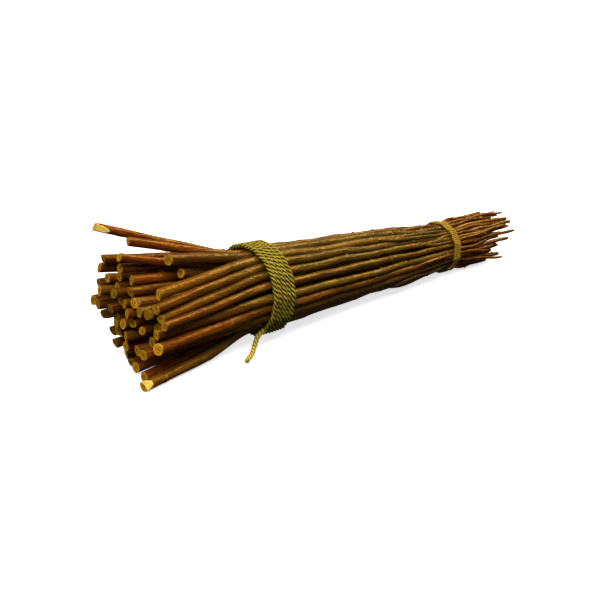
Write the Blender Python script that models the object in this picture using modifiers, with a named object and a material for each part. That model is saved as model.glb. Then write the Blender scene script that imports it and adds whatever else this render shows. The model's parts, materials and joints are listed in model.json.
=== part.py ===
"""A bundle of cut twigs, bound twice with cord and lying on its side.

The twigs are packed by a short relaxation: they start spread out as their cut butts are, are
drawn in by the two bindings, and are pushed apart until every one of them runs clear of its
neighbours, of the bindings and of the surface that the bundle lies on.

Lengths in the layout are millimetres, along the bundle (from the butt side of the fore binding
towards the tips), aside (away from the viewer) and up. The Blender model is in metres, +Z up,
with its origin under the middle of the bundle.
"""

import math

import bpy
import numpy as np

MM = 0.001

# the bundle's axis: it drops towards the thin end, because both bindings lie on the surface
AXIS_DROP = math.radians(3.3)
AXIS_HEIGHT = 35.2

# the fore binding: five turns of rope round the thick part
FORE_START = 0.0
FORE_TURNS = 5
ROPE_THICKNESS = 3.8
ROPE_PITCH = 4.0
FORE_INSIDE = 30.4
FORE_END = FORE_START + FORE_TURNS * ROPE_PITCH

# the tip binding: three flat turns of thinner cord round the thin part
TIP_START = 214.7
TIP_TURNS = 3
CORD_THICKNESS = 2.2
CORD_PITCH = 3.1
TIP_INSIDE = 20.6
TIP_END = TIP_START + TIP_TURNS * CORD_PITCH

# the rope's free end, from the fore binding's butt side down to the surface
TAIL_ROUTE = (
    (-0.6, -22.0, -24.4),
    (-3.8, -22.5, -25.2),
    (-7.6, -24.0, -27.6),
    (-11.3, -26.4, -30.6),
    (-15.2, -29.4, -33.0),
    (-19.6, -32.6, -34.2),
    (-24.2, -35.6, -34.6),
    (-28.8, -38.6, -34.8),
)

# how far a twig's surface may reach from the axis, and how a twig thins, along the bundle
GIRTH = (
    (-95, 42.0), (-45, 36.0), (-2, 30.2), (22, 30.2), (44, 30.9), (78, 31.0), (109, 30.2),
    (146, 27.3), (170, 24.8), (195, 22.2), (212, 20.4), (227, 20.4), (266, 21.9), (320, 22.5),
)
THINNING = ((-110, 1.03), (0, 0.97), (80, 0.87), (150, 0.74), (220, 0.58), (325, 0.44))
BUTT_FACE_MIDDLE = (3.0, 3.0)
BUTT_FACE_RADIUS = 43.0

# along the bundle, the places where a twig may change direction between its two ends
BENDS = (-45.0, FORE_START - 2.0, FORE_END + 2.0, 78.0, 146.0, TIP_START - 2.0, TIP_END + 2.0)

# the cut butts that face the viewer: along, aside, up, thickness, and for a twig of the
# outer layer its place round the fore binding in degrees, 90 on top and 180 towards the viewer
FACING_BUTTS = (
    (-105, 24, 56, 5.6, 67), (-85, 17, 45, 6.2, 81), (-95, 12, 37, 5.7, None),
    (-92, 16, 28, 6.0, None), (-68, -4, 35, 7.6, 96), (-93, 35, 30, 6.6, 53),
    (-93, 40, 23, 6.8, 38), (-92, 32, 18, 6.4, None), (-88, 9, 21, 6.6, None),
    (-95, 38, 13, 6.8, 23), (-100, 29, 11, 6.6, None), (-90, 23, 13, 6.4, None),
    (-97, 16, 12, 6.6, None), (-92, 4, 15, 6.2, None), (-84, -16, 17, 7.1, 112),
    (-95, 46, -1, 6.8, 8), (-98, 35, -1, 7.0, None), (-90, 41, -11, 7.0, 353),
    (-92, 29, -3, 6.6, None), (-92, 12, 5, 6.4, None), (-92, -1, 9, 7.0, None),
    (-88, 24, 4, 6.6, None), (-90, -22, 10, 6.3, 127), (-95, 4, 1, 6.6, None),
    (-92, -6, 4, 6.8, None), (-92, -15, 5, 7.0, None), (-87, -23, 3, 6.0, 142),
    (-90, -31, 1, 6.0, 159), (-84, -15, -6, 6.2, None), (-93, 21, -11, 6.6, None),
    (-93, 12, -9, 6.6, None), (-90, 5, -7, 6.4, None), (-87, 35, -22, 7.0, 338),
    (-88, 26, -19, 6.8, None), (-90, -6, -9, 5.8, None), (-93, 9, -17, 7.4, None),
    (-92, -25, -6, 6.4, 178), (-91, -19, -13, 6.6, None), (-92, -27, -15, 8.0, 194),
    (-87, 32, -30, 7.0, 323), (-88, 28, -10, 6.6, None), (-84, 23, -36, 7.0, 307),
    (-94, -6, -22, 7.2, 227), (-98, -19, -20, 7.0, 211), (-88, 10, -37, 6.8, 292),
    (-92, -1, -36, 7.0, 276), (-98, -20, -35, 7.2, 260), (-102, -26, -38, 7.3, 244),
)

# butts that the others hide: along, aside, up, thickness
HIDDEN_BUTTS = (
    (-80, 30, 8, 6.4), (-78, 34, -15, 6.6), (-74, 30, 17, 6.2), (-78, 32, -6, 6.4),
    (-66, 18, 25, 6.2), (-90, 14, -26, 6.6), (-88, 24, 20, 6.4), (-58, -4, 24, 6.2),
    (-76, -12, -22, 6.0),
)

# a facing butt may slide along the line of sight: aside and up for each millimetre along
SIGHT = (1.5, -0.65)

# where the tips end along the bundle; those of the upper half reach further
TIP_REACH = (280.0, 298.0)
UPPER_TIPS_LONGER = 8.0

# the relaxation: gap between twigs, distance between the planes where they are kept apart,
# sweeps of its two phases, and how far the free ends start from their even places
CLEARANCE = 0.36
PLANE_STEP = 12.0
SHAPING_SWEEPS = 520
CLEARING_SWEEPS = 400
WANDER = 1.2
SEED = 5

# the part of an overlap by which a twig of the outer layer gives way to one inside, and the
# parts by which a sweep draws twigs to their outer places, to the line of sight of their butts,
# towards their first places and straight
FIRM_SHARE = 0.15
OUTER_PULL = 0.3
SIGHT_PULL = 0.3
BUTT_PULL = 0.01
STRAIGHTEN = 0.06

# in a sweep: how little a crowded twig is held back, how far it is moved past what is asked, and
# how often facing butts slide; planes run past all ends, and ends are met a little beyond them
CROWD_SHARE = 0.6
OVERSHOOT = 1.3
SLIDE_EVERY = 100
PLANES_FROM = -112.0
PLANES_TO = 324.0
END_MARGIN = 3.0

# the girth binds from a little before the rope, and twigs keep a little above the surface
GIRTH_LEAD = 5.0
SURFACE_ROOM = 1.01

# how deep the valleys between a winding's turns are, as a part of the rope's thickness
VALLEY_DEPTH = 0.2

# how finely the solids are faceted
TUBE_BEVEL_RESOLUTION = 2
RING_STEPS = 24

# finishes as base colour and roughness
BARK_BROWN = ((0.13, 0.065, 0.018), 0.5)
BARK_RED_BROWN = ((0.19, 0.062, 0.014), 0.48)
BARK_OLIVE = ((0.11, 0.075, 0.022), 0.55)
ROPE = ((0.25, 0.19, 0.045), 0.9)
CORD = ((0.3, 0.18, 0.05), 0.85)

# the twigs, by number, whose bark isn't plain brown
RED_BROWN_TWIGS = (1, 2, 3, 6, 7, 9, 16, 18, 29, 33, 39, 42, 47, 50, 54)
OLIVE_TWIGS = (5, 11, 15, 21, 23, 25, 27, 36, 37, 43, 45, 48, 52, 56)


def read_curve(pairs, place):
    """Value of a curve given as (place, value) pairs at one or many places."""
    return np.interp(place, [pair[0] for pair in pairs], [pair[1] for pair in pairs])


def twig_rows():
    """All twigs as rows of along, aside, up, thickness, clock angle or None."""
    hidden = [row + (None,) for row in HIDDEN_BUTTS]
    return list(FACING_BUTTS) + hidden


class Layout:
    """Where every twig runs: stations along the bundle, centres there, and radii."""

    def __init__(self):
        rows = twig_rows()
        self.count = len(rows)
        self.facing = np.arange(self.count) < len(FACING_BUTTS)
        self.butt_along = np.array([row[0] for row in rows], float)
        self.butt_place = np.array([row[1:3] for row in rows], float)
        self.butt_radius = np.array([row[3] for row in rows], float) / 2
        self.sight = np.array(SIGHT) / math.hypot(*SIGHT)
        self.across_sight = np.array([-self.sight[1], self.sight[0]])
        chance = np.random.default_rng(SEED)
        tips = chance.uniform(*TIP_REACH, self.count)
        tips += np.where(self.butt_place[:, 1] > 0, UPPER_TIPS_LONGER, 0.0)
        bends = np.tile(BENDS, (self.count, 1))
        self.along = np.column_stack([self.butt_along, bends, tips])
        self.thin()
        self.centre = self.first_guess(rows)
        loose = self.centre[:, 4:]
        loose += chance.normal(0.0, WANDER, loose.shape)

    def thin(self):
        """Radii at the stations."""
        self.radius = self.butt_radius[:, None] * read_curve(THINNING, self.along)

    def first_guess(self, rows):
        """Butts where they are seen; from there the face shrinks to what the girth allows."""
        centre = np.zeros(self.along.shape + (2,))
        for station in range(self.along.shape[1]):
            scale = read_curve(GIRTH, self.along[:, station]) / BUTT_FACE_RADIUS
            centre[:, station] = (self.butt_place - BUTT_FACE_MIDDLE) * scale[:, None]
        self.outer = [twig for twig, row in enumerate(rows) if row[4] is not None]
        for twig in self.outer:
            angle = math.radians(rows[twig][4])
            reach = read_curve(GIRTH, self.along[twig]) - self.radius[twig]
            centre[twig, :, 0] = reach * math.cos(angle)
            centre[twig, :, 1] = reach * math.sin(angle)
        self.outer_places = centre[self.outer, 2:4]
        firm = np.isin(np.arange(self.count), self.outer)
        self.share = np.full((self.count, self.count), 0.5)
        self.share[firm[:, None] & ~firm] = FIRM_SHARE
        self.share[~firm[:, None] & firm] = 1 - FIRM_SHARE
        centre[:, 0] = self.butt_place
        bound = self.along[:, 2] - self.along[:, 0]
        part = ((self.along[:, 1] - self.along[:, 0]) / bound)[:, None]
        centre[:, 1] = (1 - part) * centre[:, 0] + part * centre[:, 2]
        return centre

    def slide_butts(self):
        """A facing butt that moved aside stays on its line of sight by being cut elsewhere."""
        moved = (self.centre[:, 0] - self.butt_place) @ self.sight / math.hypot(*SIGHT)
        self.along[:, 0] = np.where(self.facing, self.butt_along + moved, self.butt_along)
        self.thin()

    def find_crossings(self, planes):
        """For each twig and plane: the station before it, how far past it, and if it is met."""
        before = (self.along[:, None, :] <= planes[None, :, None]).sum(2) - 1
        self.before = before.clip(0, self.along.shape[1] - 2)
        self.twigs = np.arange(self.count)[:, None]
        start = self.along[self.twigs, self.before]
        end = self.along[self.twigs, self.before + 1]
        self.part = ((planes - start) / (end - start)).clip(0, 1)[..., None]
        begun = planes > self.along[:, :1] - END_MARGIN
        self.met = begun & (planes < self.along[:, -1:] + END_MARGIN)

    def at_planes(self):
        """Centres, radii and the stretch that a slanting twig's section has in each plane."""
        start = self.centre[self.twigs, self.before]
        end = self.centre[self.twigs, self.before + 1]
        place = (1 - self.part) * start + self.part * end
        run = self.along[self.twigs, self.before + 1] - self.along[self.twigs, self.before]
        stretch = np.sqrt(1 + (((end - start) / run[..., None]) ** 2).sum(2))
        part = self.part[..., 0]
        radius = (1 - part) * self.radius[self.twigs, self.before]
        radius += part * self.radius[self.twigs, self.before + 1]
        return place, radius, stretch

    def pushes(self, planes, girth):
        """How each twig has to move in each plane, and the deepest overlap found."""
        place, radius, stretch = self.at_planes()
        apart = place[:, None] - place[None]
        distance = np.sqrt((apart ** 2).sum(3)) + 1e-9
        need = (radius[:, None] + radius[None] + CLEARANCE) * (stretch[:, None] + stretch[None]) / 2
        both = self.met[:, None] & self.met[None] & ~np.eye(self.count, dtype=bool)[..., None]
        overlap = np.where(both, np.maximum(0.0, need - distance), 0.0)
        push = ((self.share[..., None] * overlap / distance)[..., None] * apart).sum(1)
        push /= np.maximum(1.0, CROWD_SHARE * (overlap > 0).sum(1))[..., None]
        reach = np.sqrt((place ** 2).sum(2)) + 1e-9
        bound = self.met & (planes > FORE_START - GIRTH_LEAD)
        outside = np.where(bound, np.maximum(0.0, reach + radius * stretch - girth), 0.0)
        push -= (outside / reach)[..., None] * place
        height = AXIS_HEIGHT - planes * math.sin(AXIS_DROP) + place[..., 1] * math.cos(AXIS_DROP)
        low = np.maximum(0.0, SURFACE_ROOM * radius - height)
        push[..., 1] += np.where(self.met, low, 0.0)
        return push, max(overlap.max(), outside.max())

    def move(self, push):
        """Share the pushes out among the stations on both sides of each plane."""
        shift = np.zeros_like(self.centre)
        weight = np.zeros(self.along.shape)
        pushed = np.abs(push).sum(2) > 0
        for side, part in ((0, 1 - self.part), (1, self.part)):
            station = self.before + side
            np.add.at(shift, (self.twigs, station), push * part)
            np.add.at(weight, (self.twigs, station), part[..., 0] * pushed)
        self.centre += OVERSHOOT * shift / np.maximum(1.0, weight)[..., None]

    def shape(self):
        """Draw twigs to where they are wanted, and take the bends out of them."""
        off = self.butt_place - self.centre[:, 0]
        across = (off @ self.across_sight)[:, None] * self.across_sight
        pull = BUTT_PULL * off
        self.centre[:, 0] += np.where(self.facing[:, None], SIGHT_PULL * across + pull, pull)
        run = self.along[:, 2:] - self.along[:, :-2]
        part = ((self.along[:, 1:-1] - self.along[:, :-2]) / run)[..., None]
        straight = (1 - part) * self.centre[:, :-2] + part * self.centre[:, 2:]
        self.centre[:, 1:-1] += STRAIGHTEN * (straight - self.centre[:, 1:-1])
        off = self.outer_places - self.centre[self.outer, 2:4]
        self.centre[self.outer, 2:4] += OUTER_PULL * off

    def relax(self):
        """Run the sweeps: first shaping and pushing together, then pushing alone."""
        regular = np.arange(PLANES_FROM, PLANES_TO, PLANE_STEP)
        planes = np.unique(np.concatenate([regular, BENDS]))
        girth = read_curve(GIRTH, planes)
        self.find_crossings(planes)
        for sweep in range(SHAPING_SWEEPS + CLEARING_SWEEPS):
            if sweep < SHAPING_SWEEPS:
                self.shape()
            if (sweep + 1) % SLIDE_EVERY == 0:
                self.slide_butts()
                self.find_crossings(planes)
            push, worst = self.pushes(planes, girth)
            self.move(push)
        return worst


def make_material(name, colour, roughness):
    """A plain Principled material."""
    material = bpy.data.materials.new(name)
    material.use_nodes = True
    shader = material.node_tree.nodes["Principled BSDF"]
    shader.inputs["Base Color"].default_value = (*colour, 1.0)
    shader.inputs["Roughness"].default_value = roughness
    shader.inputs["Metallic"].default_value = 0.0
    return material


def make_tube(name, points, radii, material, holder, collection):
    """A round stick or rope through points in the bundle's own millimetres."""
    curve = bpy.data.curves.new(name, "CURVE")
    curve.dimensions = "3D"
    curve.bevel_depth = MM
    curve.bevel_resolution = TUBE_BEVEL_RESOLUTION
    curve.use_fill_caps = True
    spline = curve.splines.new("POLY")
    spline.points.add(len(points) - 1)
    for point, place, radius in zip(spline.points, points, radii):
        point.co = (place[0] * MM, place[1] * MM, place[2] * MM, 1.0)
        point.radius = radius
    curve.materials.append(material)
    tube = bpy.data.objects.new(name, curve)
    tube.parent = holder
    collection.objects.link(tube)
    return tube


def ridged_profile(inside, thickness, turns, pitch):
    """Section of a winding: a round ridge for each turn on the outer side, flat inside."""
    outside = inside + thickness
    valley = outside - VALLEY_DEPTH * thickness
    points = [(valley, turns * pitch)]
    for turn in reversed(range(turns)):
        points.append((outside, (turn + 0.5) * pitch))
        points.append((valley, turn * pitch))
    points.append((inside, 0.0))
    points.append((inside, turns * pitch))
    return points


def make_winding(name, start, profile, material, holder, collection):
    """A turned ring round the bundle's axis, from its section as (radius, along) pairs."""
    mesh = bpy.data.meshes.new(name)
    corners = [(radius * MM, 0.0, along * MM) for radius, along in profile]
    edges = [(index, (index + 1) % len(corners)) for index in range(len(corners))]
    mesh.from_pydata(corners, edges, [])
    mesh.materials.append(material)
    ring = bpy.data.objects.new(name, mesh)
    ring.parent = holder
    ring.location = (start * MM, 0.0, 0.0)
    ring.rotation_euler = (0.0, math.pi / 2, 0.0)
    collection.objects.link(ring)
    screw = ring.modifiers.new("turn", "SCREW")
    screw.axis = "Z"
    screw.angle = math.tau
    screw.screw_offset = 0.0
    screw.steps = RING_STEPS
    screw.render_steps = RING_STEPS
    screw.use_merge_vertices = True
    screw.merge_threshold = 0.00005
    return ring


def smooth_route(points, per_span):
    """Points on the smooth curve that runs through a route (Catmull-Rom spans)."""
    points = np.array(points)
    padded = np.vstack([2 * points[0] - points[1], points, 2 * points[-1] - points[-2]])
    out = []
    for span in range(len(points) - 1):
        a, b, c, d = padded[span:span + 4]
        for step in range(per_span):
            t = step / per_span
            bend = 2 * a - 5 * b + 4 * c - d
            twist = 3 * b - a - 3 * c + d
            out.append((2 * b + (c - a) * t + bend * t ** 2 + twist * t ** 3) / 2)
    out.append(points[-1])
    return out


def make_twigs(layout, holder, collection):
    """One tube for each twig, in one of three barks."""
    brown = make_material("bark_brown", *BARK_BROWN)
    red_brown = make_material("bark_red_brown", *BARK_RED_BROWN)
    olive = make_material("bark_olive", *BARK_OLIVE)
    for twig in range(layout.count):
        number = twig + 1
        bark = brown
        if number in RED_BROWN_TWIGS:
            bark = red_brown
        if number in OLIVE_TWIGS:
            bark = olive
        points = np.column_stack([layout.along[twig], layout.centre[twig]])
        make_tube(f"twig_{number:02d}", points, layout.radius[twig], bark, holder, collection)


def make_bindings(holder, collection):
    """The two windings and the rope's free end."""
    rope = make_material("rope", *ROPE)
    cord = make_material("thin_cord", *CORD)
    section = ridged_profile(FORE_INSIDE, ROPE_THICKNESS, FORE_TURNS, ROPE_PITCH)
    make_winding("rope_binding", FORE_START, section, rope, holder, collection)
    section = ridged_profile(TIP_INSIDE, CORD_THICKNESS, TIP_TURNS, CORD_PITCH)
    make_winding("tip_binding", TIP_START, section, cord, holder, collection)
    route = smooth_route(TAIL_ROUTE, 1)
    radii = [ROPE_THICKNESS / 2] * len(route)
    return make_tube("rope_tail", route, radii, rope, holder, collection)


def stand_on_origin(holder, collection, left_out):
    """Move the bundle so that it rests on z = 0 with the origin under its middle."""
    bpy.context.view_layer.update()
    graph = bpy.context.evaluated_depsgraph_get()
    corners = []
    for piece in collection.objects:
        if piece.type == "EMPTY" or piece == left_out:
            continue
        seen = piece.evaluated_get(graph)
        mesh = seen.to_mesh()
        corners += [seen.matrix_world @ vertex.co for vertex in mesh.vertices]
        seen.to_mesh_clear()
    corners = np.array(corners)
    low = corners.min(axis=0)
    high = corners.max(axis=0)
    holder.location.x -= (low[0] + high[0]) / 2
    holder.location.y -= (low[1] + high[1]) / 2
    holder.location.z -= low[2]


def main():
    """Build the bundle in an empty scene."""
    for old in list(bpy.data.objects):
        bpy.data.objects.remove(old)
    collection = bpy.data.collections.new("twig_bundle")
    bpy.context.scene.collection.children.link(collection)
    holder = bpy.data.objects.new("bundle_axis", None)
    holder.location = (0.0, 0.0, AXIS_HEIGHT * MM)
    holder.rotation_euler = (0.0, AXIS_DROP, 0.0)
    collection.objects.link(holder)
    layout = Layout()
    layout.relax()
    make_twigs(layout, holder, collection)
    tail = make_bindings(holder, collection)
    stand_on_origin(holder, collection, tail)


main()
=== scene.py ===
"""Looks of a bound bundle of cut twigs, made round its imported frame.

Each twig is a long thin skin of bark on a path that is read from its solid, with knots, leaf
scars, buds and two cut ends. The two bindings and the rope's free end are laid rope: a Geometry
Nodes tree winds their strands round a path.

Sizes inside the functions are millimetres along the bundle (from the butt side of the fore
binding towards the tips), aside (away from the viewer) and up, until they become metres.
"""

import json
import math

import bpy
import numpy as np
from bpy.props import FloatProperty, FloatVectorProperty, IntProperty, PointerProperty
from mathutils import Matrix, Vector


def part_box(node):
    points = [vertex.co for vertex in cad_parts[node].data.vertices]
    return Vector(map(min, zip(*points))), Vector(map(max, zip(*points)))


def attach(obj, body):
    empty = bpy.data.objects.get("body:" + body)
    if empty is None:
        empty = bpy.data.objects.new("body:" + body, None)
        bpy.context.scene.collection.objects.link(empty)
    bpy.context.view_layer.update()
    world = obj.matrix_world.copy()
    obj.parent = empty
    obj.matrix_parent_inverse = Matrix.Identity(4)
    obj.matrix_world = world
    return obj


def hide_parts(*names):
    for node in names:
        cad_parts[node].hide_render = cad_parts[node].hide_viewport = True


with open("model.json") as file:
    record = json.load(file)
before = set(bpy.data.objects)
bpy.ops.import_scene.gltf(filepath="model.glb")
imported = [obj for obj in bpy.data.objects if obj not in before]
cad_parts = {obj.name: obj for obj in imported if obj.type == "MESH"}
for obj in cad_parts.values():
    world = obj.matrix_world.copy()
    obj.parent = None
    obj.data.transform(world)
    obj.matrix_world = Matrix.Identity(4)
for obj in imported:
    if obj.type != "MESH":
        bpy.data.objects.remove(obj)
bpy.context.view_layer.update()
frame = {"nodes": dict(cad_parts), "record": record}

bl_info = {
    "name": "Twig Bundle",
    "version": (1, 0, 0),
    "blender": (4, 5, 0),
    "location": "3D View > Sidebar > Twig Bundle",
    "description": "Dresses the packed frame of a bound bundle of cut twigs",
    "category": "Object",
}

MM = 0.001

# the bundle's axis drops towards the thin end, and the fore binding's box is centred on it
AXIS_DROP = math.radians(3.3)
ALONG = np.array((math.cos(AXIS_DROP), 0.0, -math.sin(AXIS_DROP)))
ASIDE = np.array((0.0, 1.0, 0.0))
UP = np.array((math.sin(AXIS_DROP), 0.0, math.cos(AXIS_DROP)))
AXES = np.array((ALONG, ASIDE, UP))

# the bindings, as their solids are: rope round the thick part, thinner cord round the thin part
FORE_WIDTH = 20.0
FORE_TURNS = 5
FORE_OUTSIDE = 34.2
TIP_START = 214.7
TIP_WIDTH = 9.3
TIP_TURNS = 3
TIP_OUTSIDE = 22.8

# clock angles in degrees where the bindings bend over a twig: 90 on top, 180 towards the viewer
FORE_CORNERS = (8, 38, 62, 84, 106, 129, 152, 178, 204, 228, 256, 282, 307, 338)
TIP_CORNERS = (5, 36, 70, 98, 131, 160, 194, 226, 259, 290, 325)

# the rope's free end, from the fore binding's butt side down to the surface
TAIL_ROUTE = (
    (-0.6, -22.0, -24.4),
    (-3.8, -22.5, -25.2),
    (-7.6, -24.0, -27.6),
    (-11.3, -26.4, -30.6),
    (-15.2, -29.4, -33.0),
    (-19.6, -32.6, -34.2),
    (-24.2, -35.6, -34.6),
    (-28.8, -38.6, -34.8),
)

# the free end's fibre is a lighter copy of the rope's, a painted highlight that makes up for the
# bundle's shadow it lies in, with lighter painted shade in its grooves
TAIL_PAINTED_LIGHT = 1.45
TAIL_GROOVE_SHADE = 0.3

# how often a metre of the yarns in a strand turns
ROPE_TWISTS = -260.0
CORD_TWISTS = -420.0

# the camera: where it stands from the bundle's axis at the fore binding, and how it looks
CAMERA_TURN = math.radians(42.84)
CAMERA_HEIGHT = math.radians(20.27)
CAMERA_AWAY = 643.0
CAMERA_RIGHT = 40.01
CAMERA_UP = -6.43
CAMERA_LENS = 54.0

TWIG_NODES = [name for name in sorted(frame["nodes"]) if name.startswith("twig_")]
RING_CORNERS = 8

# how deep the strands of the bindings reach, a little more than the rope and the cord are thick
FORE_DEPTH = 3.9
TIP_DEPTH = 2.3

# outside the bindings nothing holds the twigs together, so their reach has no limit
FREE_GIRTH = 200.0

# a rope's path round the bundle: points in a turn, how far it stands off the corners, how close
# it comes to the surface, and the last points, where its end is tucked in
TURN_POINTS = 90
OFF_CORNERS = 0.55
OFF_SURFACE = 0.12
TUCK_POINTS = 14
TUCKED = 0.94

# a twig's growth is counted from a place near the butts to the longest tips
GROWN_FROM = -90.0
GROWN_OVER = 380.0

# places of the rings of a twig's skin, counted from its butt, back from its tip and about a knot
BUTT_RINGS = np.array((
    0.0, 0.35, 0.8, 1.4, 2.1, 3.0, 4.0, 5.1, 6.3, 7.6, 9.0, 10.6, 12.2, 14.0,
))
TIP_RINGS = np.array((0.0, 0.4, 0.9, 1.5, 2.3, 3.3, 4.5, 6.0))
KNOT_RINGS = np.array((-1.5, -0.8, 0.0, 0.8, 1.5))
LEAST_GAP = 0.3

# the face of a cut end: rings as parts of the twig's radius, each with its rise along the twig
BUTT_CAP = ((0.975, -0.10), (0.9, -0.12), (0.86, -0.02), (0.6, -0.05), (0.32, -0.08), (0.16, 0.1))
TIP_CAP = ((0.85, 0.08), (0.45, 0.12))
CAP_MIDDLE = 0.12

# cut ends lean over this length, and a tip narrows to this part of the twig's thickness
BUTT_LEAN = 6.0
TIP_LEAN = 5.0
TIP_GIRTH = 0.86

# how many knots keep a pale scar, and from which growth on and how often they have a bud
SCARRED = 0.5
BUDS_FROM = 0.42
BUDDED = 0.8

# side shoots are thin, so their skins have fewer sides
SHOOT_SIDES = 12

# cuts that slope: twig number to slope length, depth as a part of the thickness, clock angle and
# how fresh the wood looks there; above 1 this number also lightens the bare wood past its own
# colour, a painted highlight on slopes that face away from the light
SLICES = {
    1: (10.0, 0.36, 192, 2.6),
    18: (6.0, 0.6, 190, 0.8),
    21: (2.6, 0.4, 150, 0.5),
    26: (3.0, 0.4, 180, 0.6),
    39: (1.6, 0.3, 110, 1.1),
    48: (4.8, 0.45, 140, 1.35),
}

# tips that are cut on a slope: twig number to slope and the clock angle that the cut looks at
TIP_SLICES = {39: (2.4, 135)}

# how much lighter or darker a twig is than its bark's usual tone, from -1 to 1
TONES = {
    1: 0.5, 2: 0.2, 5: -0.5, 15: 0.7, 23: 0.1, 27: 0.1, 28: -0.1, 36: 0.7, 37: 0.5, 39: 0.3,
    48: 0.5,
}
SEED = 11


def bundle_origin():
    """World place of the bundle's axis at the butt side of the fore binding, in metres."""
    low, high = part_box("rope_binding")
    middle = np.array((low + high) / 2)
    return middle - ALONG * FORE_WIDTH / 2 * MM


ORIGIN = bundle_origin()


def to_world(places):
    """World metres from the bundle's own millimetres."""
    return ORIGIN + np.asarray(places, float) * MM @ AXES


def to_bundle(points):
    """The bundle's own millimetres from world metres."""
    return (np.asarray(points, float) - ORIGIN) @ AXES.T / MM


def grown(place):
    """How far along its growth a place of a twig is, from 0 at the butt to 1 at the tip."""
    return np.clip((place - GROWN_FROM) / GROWN_OVER, 0.0, 1.0)


def smooth_step(value):
    """0 below 0, 1 above 1, and an even rise between."""
    value = np.clip(value, 0.0, 1.0)
    return value * value * (3 - 2 * value)


class NodeMaker:
    """Adds nodes to one tree, with inputs given as values or as other nodes' sockets."""

    def __init__(self, tree):
        self.tree = tree

    def add(self, kind, inputs=None, **settings):
        node = self.tree.nodes.new(kind)
        for name, value in settings.items():
            setattr(node, name, value)
        for name, value in (inputs or {}).items():
            socket = node.inputs[name]
            if isinstance(value, bpy.types.NodeSocket):
                self.tree.links.new(value, socket)
            else:
                socket.default_value = value
        return node

    def get(self, kind, inputs=None, **settings):
        """The first output of a new node."""
        return self.add(kind, inputs, **settings).outputs[0]

    def math(self, operation, first, second=0.0, clamp=False):
        inputs = {0: first, 1: second}
        return self.get("ShaderNodeMath", inputs, operation=operation, use_clamp=clamp)

    def vector(self, operation, first, second=None, scale=None):
        inputs = {0: first}
        if second is not None:
            inputs[1] = second
        if scale is not None:
            inputs["Scale"] = scale
        return self.get("ShaderNodeVectorMath", inputs, operation=operation)

    def noise(self, vector, scale, detail=3.0, roughness=0.55):
        inputs = {"Vector": vector, "Scale": scale, "Detail": detail, "Roughness": roughness}
        return self.get("ShaderNodeTexNoise", inputs)

    def stretch(self, vector, along, across):
        """The vector scaled by one number along and another across."""
        return self.vector("MULTIPLY", vector, (along, across, across))

    def fit(self, value, low, high, new_low=0.0, new_high=1.0):
        """The value moved from one range to another, and kept inside it."""
        inputs = {
            "Value": value, "From Min": low, "From Max": high,
            "To Min": new_low, "To Max": new_high,
        }
        return self.get("ShaderNodeMapRange", inputs)

    def blend(self, part, first, second, mode="MIX"):
        """Two colours mixed."""
        node = self.add("ShaderNodeMix", data_type="RGBA", blend_type=mode)
        for name, value in (("Factor_Float", part), ("A_Color", first), ("B_Color", second)):
            socket = next(s for s in node.inputs if s.identifier == name)
            if isinstance(value, bpy.types.NodeSocket):
                self.tree.links.new(value, socket)
            elif name == "Factor_Float":
                socket.default_value = value
            else:
                socket.default_value = (*value[:3], 1.0)
        return next(s for s in node.outputs if s.identifier == "Result_Color")

    def attribute(self, name):
        return self.add("ShaderNodeAttribute", attribute_name=name)


def new_material(name):
    """A material with its node maker and its Principled shader."""
    material = bpy.data.materials.new(name)
    material.use_nodes = True
    maker = NodeMaker(material.node_tree)
    return material, maker, material.node_tree.nodes["Principled BSDF"]


def connect(maker, shader, **sockets):
    """Links sockets of a shader by their names, with spaces written as underscores."""
    for name, socket in sockets.items():
        maker.tree.links.new(socket, shader.inputs[name.replace("_", " ")])


def darker(colour, amount):
    return tuple(channel * amount for channel in colour[:3])


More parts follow.
